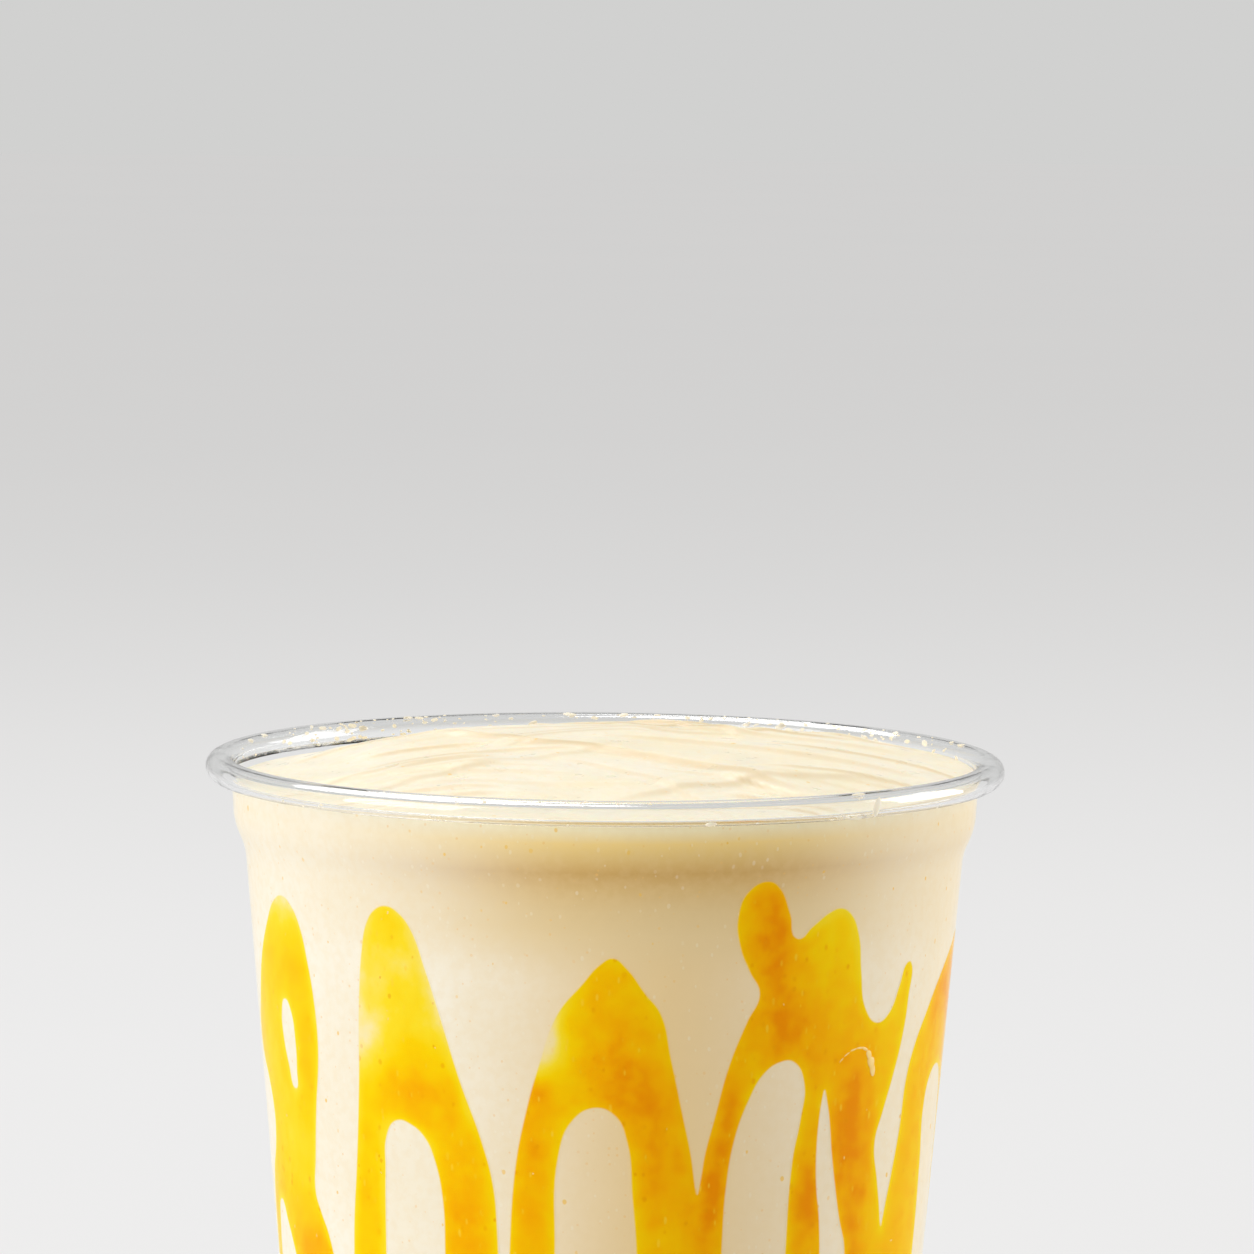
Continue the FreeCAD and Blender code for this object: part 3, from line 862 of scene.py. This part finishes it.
def nearest_on(line, points):
    """For each point, the nearest place on a closed line, and whether the point is inside it."""
    starts, ends = line, np.roll(line, -1, axis=0)
    runs = ends - starts
    lengths = np.maximum((runs**2).sum(1), 1e-12)
    nearest = np.empty_like(points)
    inside = np.zeros(len(points), bool)
    for first in range(0, len(points), BATCH):
        batch = points[first:first + BATCH, None]
        share = np.clip(((batch - starts) * runs).sum(2) / lengths, 0, 1)
        on_line = starts + share[..., None] * runs
        gaps = ((batch - on_line) ** 2).sum(2)
        picked = gaps.argmin(1)
        nearest[first:first + BATCH] = on_line[np.arange(len(picked)), picked]
        start_over, end_over = starts[:, 1] > batch[..., 1], ends[:, 1] > batch[..., 1]
        run_up = np.where(ends[:, 1] == starts[:, 1], 1e-9, ends[:, 1] - starts[:, 1])
        meets = starts[:, 0] + (batch[..., 1] - starts[:, 1]) / run_up * runs[:, 0]
        crossed = (start_over != end_over) & (batch[..., 0] < meets)
        inside[first:first + BATCH] = crossed.sum(1) % 2 == 1
    return nearest, inside


def measured(swirl, points):
    """Signed distance to a swirl's edge, positive in the sauce, and the nearest place on it."""
    where, inside = nearest_on(soft_line(swirl["edge"]), points)
    best = np.linalg.norm(points - where, axis=1) * np.where(inside, 1, -1)
    for gap in swirl.get("gaps", []):
        nearest, inside = nearest_on(soft_line(gap), points)
        from_gap = np.linalg.norm(points - nearest, axis=1) * np.where(inside, -1, 1)
        closer = from_gap < best
        best = np.where(closer, from_gap, best)
        where = np.where(closer[:, None], nearest, where)
    return best, where


def pool_depth(swirl, points):
    """How deep the sauce is, from about 0 to 1."""
    depth = np.full(len(points), swirl["depth"])
    for bearing, height, wide, tall, amount in swirl["pools"]:
        across = (points[:, 0] - math.radians(bearing) * ARC) / (math.radians(wide) * ARC)
        up_or_down = (points[:, 1] - height) / tall
        depth += amount * np.exp(-(across**2) - up_or_down**2)
    return depth


# %% Build the sauce
SAUCE_AT_WALL = 0.03  # in front of the drink, into the plastic
THINNEST, THICKEST = 0.1, 1.0
EDGE_ROUND = 1.6  # how far in from its edge the sauce is at its full thickness
MARGIN = 1.5  # of grid round the drawing
MAY_OVERHANG = 0.25  # of a grid step, for a point just outside the line
FINE, COARSE = 0.4, 0.55


def swirl_body(swirl, pitch):
    bm = bmesh.new()
    edge_layer = bm.verts.layers.float.new("edge")
    pool_layer = bm.verts.layers.float.new("pool")
    drawing = unrolled(swirl["edge"])
    low, high = drawing.min(0) - MARGIN, drawing.max(0) + MARGIN
    columns, rows = (int(side / pitch) for side in high - low)
    bmesh.ops.create_grid(bm, x_segments=columns, y_segments=rows, size=0.5)
    bmesh.ops.scale(bm, vec=(high[0] - low[0], high[1] - low[1], 1), verts=bm.verts)
    bmesh.ops.translate(bm, vec=(*((low + high) / 2), 0), verts=bm.verts)
    flat = np.array([vert.co[:2] for vert in bm.verts])
    distance, nearest = measured(swirl, flat)
    keep = distance > -MAY_OVERHANG * pitch
    bm.verts.index_update()
    outside = [face for face in bm.faces if not all(keep[vert.index] for vert in face.verts)]
    for vert in bm.verts:
        vert[edge_layer] = float(distance[vert.index])
    marks = {vert: vert.index for vert in bm.verts}
    bmesh.ops.delete(bm, geom=outside, context="FACES")
    for vert in bm.verts:
        if vert.is_boundary:
            vert.co.x, vert.co.y = (float(part) for part in nearest[marks[vert]])
            vert[edge_layer] = 0.0
    for vert, depth in zip(bm.verts, pool_depth(swirl, np.array([vert.co[:2] for vert in bm.verts]))):
        vert[pool_layer] = float(depth)
    made = bmesh.ops.extrude_face_region(bm, geom=bm.faces[:], use_keep_orig=True)
    inner = {item for item in made["geom"] if isinstance(item, bmesh.types.BMVert)}
    for vert in bm.verts:
        inwards = -SAUCE_AT_WALL
        if vert in inner:
            rounding = min(1.0, max(vert[edge_layer], 0.0) / EDGE_ROUND)
            full = THICKEST * min(1.0, 0.4 + 0.6 * vert[pool_layer])
            inwards = THINNEST + full * math.sqrt(rounding * (2 - rounding))
        bearing, height = vert.co.x / ARC, vert.co.y * MM
        radius = float(wall_radius(height)) - inwards * MM
        vert.co = (radius * math.sin(bearing), -radius * math.cos(bearing), height)
    return bm


def joined(bodies):
    """One bmesh out of several, layers kept."""
    whole = bmesh.new()
    for body in bodies:
        part = bpy.data.meshes.new("part")
        body.to_mesh(part)
        whole.from_mesh(part)
        body.free()
        bpy.data.meshes.remove(part)
    return whole


def sheet_of_sauce(swirls, pitch):
    bm = joined([swirl_body(swirl, pitch) for swirl in swirls])
    bmesh.ops.recalc_face_normals(bm, faces=bm.faces[:])
    print("this sheet of sauce is", round(bm.calc_volume(signed=True) * 1e6, 2), "cubic cm;",
          open_edges(bm), "open edges")
    return bm


front_bm = sheet_of_sauce(SWIRLS[:3], FINE)
back_bm = sheet_of_sauce(SWIRLS[3:], COARSE)

# %% [markdown]
# ## Mango sauce
#
# Thin sauce over pale drink is lemon yellow, and it turns golden and then orange as it gets
# thicker. So one colour ramp, read by depth, gives every shade of it. The depth is the pool's, made
# uneven by streaks and clouds and less near the edge, most of all where the sauce is thin anyway.
# At the very edge, and where there is next to no depth, the drink's own colour takes over.

# %% Sauce material
SAUCE_SHADES = [
    # depth, colour
    (0.0, (253, 232, 140)), (0.1, (253, 231, 100)), (0.24, (254, 225, 40)), (0.42, (254, 215, 2)),
    (0.6, (254, 200, 0)), (0.8, (253, 179, 0)), (1.0, (246, 150, 0)),
]
DARK_FRUIT = colour(238, 150, 0)
FIBRE = colour(255, 216, 62)


def sauce_depth(tree, edge, pool, streaks, clouds):
    uneven = calculate(tree, "MULTIPLY_ADD", streaks, 0.34, -0.17)
    uneven = calculate(tree, "ADD", uneven, calculate(tree, "MULTIPLY_ADD", clouds, 0.4, -0.2))
    depth = times(tree, pool, calculate(tree, "MULTIPLY_ADD", uneven, 1.2, 1.0))
    depth = calculate(tree, "MULTIPLY_ADD", uneven, 0.35, depth)
    rounded = between(tree, edge, 0.0, 1.8)
    at_edge = between(tree, pool, 0.42, 0.75, 0.5, 0.86)
    left_over = calculate(tree, "SUBTRACT", 1.0, rounded)
    swollen = calculate(tree, "MULTIPLY_ADD", left_over, at_edge, rounded)
    return times(tree, depth, swollen)


def sauce_material():
    material, tree = new_material("mango sauce")
    edge = attribute(tree, "edge")
    place = object_place(tree)
    drawn = add_node(tree, "ShaderNodeMapping", Vector=place, Scale=(1, 1, 0.35)).outputs[0]
    streaks, clouds = noise(tree, drawn, 170.0, 3.0), noise(tree, place, 420.0, 4.0)
    depth = sauce_depth(tree, edge, attribute(tree, "pool"), streaks, clouds)
    fruit = ramp_of(tree, depth, SAUCE_SHADES)
    fruit = with_flecks(tree, fruit, DARK_FRUIT, 0.55, 800.0, 0.25, 0.3, (1, 1, 0.8))
    fruit = with_flecks(tree, fruit, FIBRE, 0.6, 800.0, 0.25, 0.4, (1.5, 1.3, 0.6))
    cover = times(tree, between(tree, edge, 0.0, 0.28), between(tree, depth, -0.06, 0.16, 0.12, 1.0))
    shown = mix_colours(tree, cover, drink_colour(tree, 1.0), fruit)
    shader = add_node(tree, "ShaderNodeBsdfPrincipled", Base_Color=shown, IOR=1.4,
                      Roughness=between(tree, clouds, 0.3, 0.7, 0.4, 0.55),
                      Normal=bumped(tree, clouds, 0.02 * MM), Specular_IOR_Level=0.04)
    finish_material(tree, shader.outputs[0])
    return material


loops = [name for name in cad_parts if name.startswith("sauce_loop")]
at_front = [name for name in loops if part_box(name)[0][1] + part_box(name)[1][1] < 0]
at_back = [name for name in loops if name not in at_front]
mango = sauce_material()
piece_from("mango_sauce_front", front_bm, [mango], at_front)
piece_from("mango_sauce_back", back_bm, [mango], at_back)

# %% [markdown]
# ## Splashes and trapped bubbles
#
# Filling a cup is messy. The blender jug drips on the rim, and small drops of drink stay on the
# plastic above the level, most of them at the back. Each is a small icosphere, pressed flat on the
# rolled rim: a matrix with its three axes as columns places and flattens it in one go. Under the
# wall, tiny bubbles of air stay in the sauce as pale flecks, and one bigger one as a bow; their pale,
# bright colour is a painted highlight for the shine of the air under the plastic.

# %% Place a drop
def outward(bearing):
    """The way out from the cup's axis, by degrees from the front."""
    return Vector((math.sin(math.radians(bearing)), -math.cos(math.radians(bearing)), 0))


def press_on(bm, place, from_axis, outwards, sizes, tilt=0.0, detail=1):
    """A drop at a place, its width round the cup but for a tilt, its thickness outwards."""
    around = Matrix.Rotation(math.radians(tilt), 3, outwards) @ Vector((-from_axis.y, from_axis.x, 0))
    upwards = outwards.cross(around)
    axes = (around * sizes[0] * MM, upwards * sizes[1] * MM, outwards * sizes[2] * MM)
    matrix = Matrix.Translation(place) @ Matrix(axes).transposed().to_4x4()
    bmesh.ops.create_icosphere(bm, subdivisions=detail, radius=1.0, matrix=matrix)


def on_curl(bm, bearing, turn, *shape, **finer):
    """A drop on the rolled rim: degrees from the front, and degrees round the curl's own section."""
    from_axis, turn = outward(bearing), math.radians(turn)
    centre = INNER_CENTRE if math.cos(turn) < 0 else OUTER_CENTRE
    reach = (CURL_HOLLOW + SHEET) * MM
    outwards = from_axis * math.cos(turn) + Vector((0, 0, math.sin(turn)))
    place = from_axis * centre[0] * MM + Vector((0, 0, centre[1] * MM)) + outwards * reach
    press_on(bm, place, from_axis, outwards, *shape, **finer)


def under_wall(bm, bearing, height, *shape, **finer):
    """A flat bubble between the sauce and the wall."""
    from_axis = outward(bearing)
    place = from_axis * (float(wall_radius(height * MM)) + SAUCE_AT_WALL * MM)
    press_on(bm, place + Vector((0, 0, height * MM)), from_axis, from_axis, *shape, **finer)


# %% Splashes
DROPS_AT_BACK, DROPS_IN_FRONT = 170, 26
chance = random.Random(23)
splash_bm = bmesh.new()
for _ in range(DROPS_AT_BACK):
    bearing = chance.choice((chance.gauss(150, 16), chance.gauss(222, 14), chance.uniform(105, 255)))
    size = 0.12 + 0.32 * chance.random() ** 2
    long_way = size * chance.uniform(1.0, 2.6)
    on_curl(splash_bm, bearing, chance.uniform(100, 205), (long_way, size, 0.1), chance.gauss(0, 12))
for _ in range(DROPS_IN_FRONT):
    size = chance.uniform(0.1, 0.22)
    on_curl(splash_bm, chance.uniform(-60, 60), chance.choice((-50, 60)) + chance.gauss(0, 14),
            (size * 1.6, size, 0.08))
SMEAR = [
    # degrees from the front, degrees round the curl, (width, height, thickness), tilt
    (40.6, -5, (0.55, 1.25, 0.2), -14), (39.4, -52, (0.9, 0.4, 0.22), 12),
    (37.6, -58, (1.5, 0.4, 0.2), 4), (35.6, -50, (0.7, 0.28, 0.16), -8),
    (34.2, -40, (0.4, 0.2, 0.12), 10), (33.3, -56, (0.3, 0.2, 0.1), 0),
    (38.2, 70, (1.1, 0.3, 0.12), 3), (14.7, -48, (0.75, 0.36, 0.18), 0),
]
for bearing, turn, sizes, tilt in SMEAR:
    on_curl(splash_bm, bearing, turn, sizes, tilt, detail=2)
piece_from("rim_splashes", splash_bm, [drink_open])

# %% Bubbles in the sauce
CLEAR_OF_EDGE = 0.7


def in_sauce(count):
    """Random places well inside the swirls, as (degrees, height)."""
    found = []
    for swirl in SWIRLS:
        drawn = unrolled(swirl["edge"])
        low, high = drawn.min(0), drawn.max(0)
        tries = np.array([[chance.uniform(*pair) for pair in zip(low, high)] for _ in range(count * 3)])
        clear = measured(swirl, tries)[0] > CLEAR_OF_EDGE
        found += [(math.degrees(x / ARC), z) for x, z in tries[clear][:count]]
    return found


bubble_bm = bmesh.new()
for bearing, height in in_sauce(16):
    size = 0.07 + 0.08 * chance.random() ** 2
    sizes = (size, size * chance.uniform(1, 3), 0.03)
    under_wall(bubble_bm, bearing, height, sizes, chance.gauss(20, 25))
CRESCENT = [
    # one bigger bubble, a thin bow that ends in a wedge, painted bright as a highlight:
    # degrees, height, (width, height, thickness), tilt
    (42.6, 113.4, (0.5, 0.09, 0.02), 38), (43.8, 114, (0.6, 0.1, 0.02), 26),
    (45.2, 114.4, (0.6, 0.11, 0.02), 10), (46.7, 114.5, (0.6, 0.13, 0.03), -4),
    (48, 114.3, (0.6, 0.2, 0.04), -22), (49.1, 113.6, (0.46, 0.8, 0.05), 24),
    (49.8, 112.7, (0.66, 0.95, 0.05), 16), (50.4, 111.7, (0.5, 1.0, 0.05), 8),
]
for bearing, height, sizes, tilt in CRESCENT:
    under_wall(bubble_bm, bearing, height, sizes, tilt, detail=2)
# painted highlight: the bubbles' pale cream and yellow stand in for the light that air under the wall
# reflects
bubble_highlight_material, tree = new_material("painted bubble highlight")
cloud = noise(tree, object_place(tree), 800.0, 2.0)
shade = mix_colours(tree, cloud, colour(253, 206, 84), colour(253, 226, 160))
air = add_node(tree, "ShaderNodeBsdfPrincipled", Base_Color=shade,
               Roughness=between(tree, cloud, 0.3, 0.7, 0.3, 0.5))
finish_material(tree, air.outputs[0])
piece_from("trapped_bubbles", bubble_bm, [bubble_highlight_material])

# %% [markdown]
# ## Floor and light
#
# The cup stands on a plain pale floor under plain soft light: window-like lamps on the left in
# front and on the right, a small one above and behind, and an even pale surround. The clear plastic
# mirrors and bends floor and surround, so both have one shade for rays that reach the eye straight,
# mirrored or through the plastic, and another for the light that they throw on the cup.

# %% Floor
def seen_directly(tree):
    """1 for rays that reach the eye straight, mirrored or through the clear plastic, or else 0."""
    path = add_node(tree, "ShaderNodeLightPath").outputs
    either = calculate(tree, "MAXIMUM", path["Is Camera Ray"], path["Is Transmission Ray"])
    return calculate(tree, "MAXIMUM", either, path["Is Glossy Ray"])


def floor_material():
    material, tree = new_material("pale floor")
    mottle = noise(tree, object_place(tree), 3.0, 3.0)
    shade = mix_colours(tree, mottle, colour(226, 227, 229), colour(232, 232, 233))
    lit = add_node(tree, "ShaderNodeBsdfDiffuse", Color=shade).outputs[0]
    even = add_node(tree, "ShaderNodeEmission", Color=colour(232, 233, 235)).outputs[0]
    share = times(tree, seen_directly(tree), 0.6)
    finish_material(tree, mix_shaders(tree, share, lit, even))
    return material


FLOOR_RADIUS = 9.0
floor_bm = bmesh.new()
bmesh.ops.create_circle(floor_bm, cap_ends=True, segments=96, radius=FLOOR_RADIUS)
floor_mesh = bpy.data.meshes.new("floor")
floor_bm.to_mesh(floor_mesh)
floor_bm.free()
floor_mesh.materials.append(floor_material())
put_in_scene("floor", floor_mesh)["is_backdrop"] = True

# %% Lamps and surround
LIT_POINT = Vector((0, 0, 0.1))
WINDOWS = [
    # name, place, width, height, power
    ("window left", (-1.4, -0.8, 0.55), 1.1, 1.7, 16.5),
    ("window right", (1.65, 0.5, 0.5), 1.0, 1.6, 18.5),
    ("window above", (-0.4, 0.7, 1.3), 0.8, 0.8, 9.5),
]
for name, place, width, height, power in WINDOWS:
    lamp = bpy.data.lights.new(name, "AREA")
    lamp.shape = "RECTANGLE"
    lamp.size, lamp.size_y = width, height
    lamp.energy = power
    window = put_in_scene(name, lamp)
    window.location = place
    window.rotation_euler = (LIT_POINT - Vector(place)).to_track_quat("-Z", "Y").to_euler()

world = bpy.data.worlds.new("surround")
bpy.context.scene.world = world
world.use_nodes = True
world.node_tree.nodes.clear()
tree = world.node_tree
warm = add_node(tree, "ShaderNodeBackground", Color=(1, 0.93, 0.82, 1), Strength=0.5).outputs[0]
pale = add_node(tree, "ShaderNodeBackground", Color=colour(209, 209, 208)).outputs[0]
blend = mix_shaders(tree, seen_directly(tree), warm, pale)
tree.links.new(blend, tree.nodes.new("ShaderNodeOutputWorld").inputs["Surface"])
bpy.context.scene.view_settings.view_transform = "Standard"

# %% [markdown]
# ## Sizes
#
# The object's box is printed beside the imported model's. The object's box must stay
# inside the imported model's.

# %% Sizes, and the end
visual_box = [list(corner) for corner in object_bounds()]
for name, (low, high) in (("cad", cad_box), ("visual", visual_box)):
    print(name, [round(part / MM, 2) for part in low], [round(part / MM, 2) for part in high])
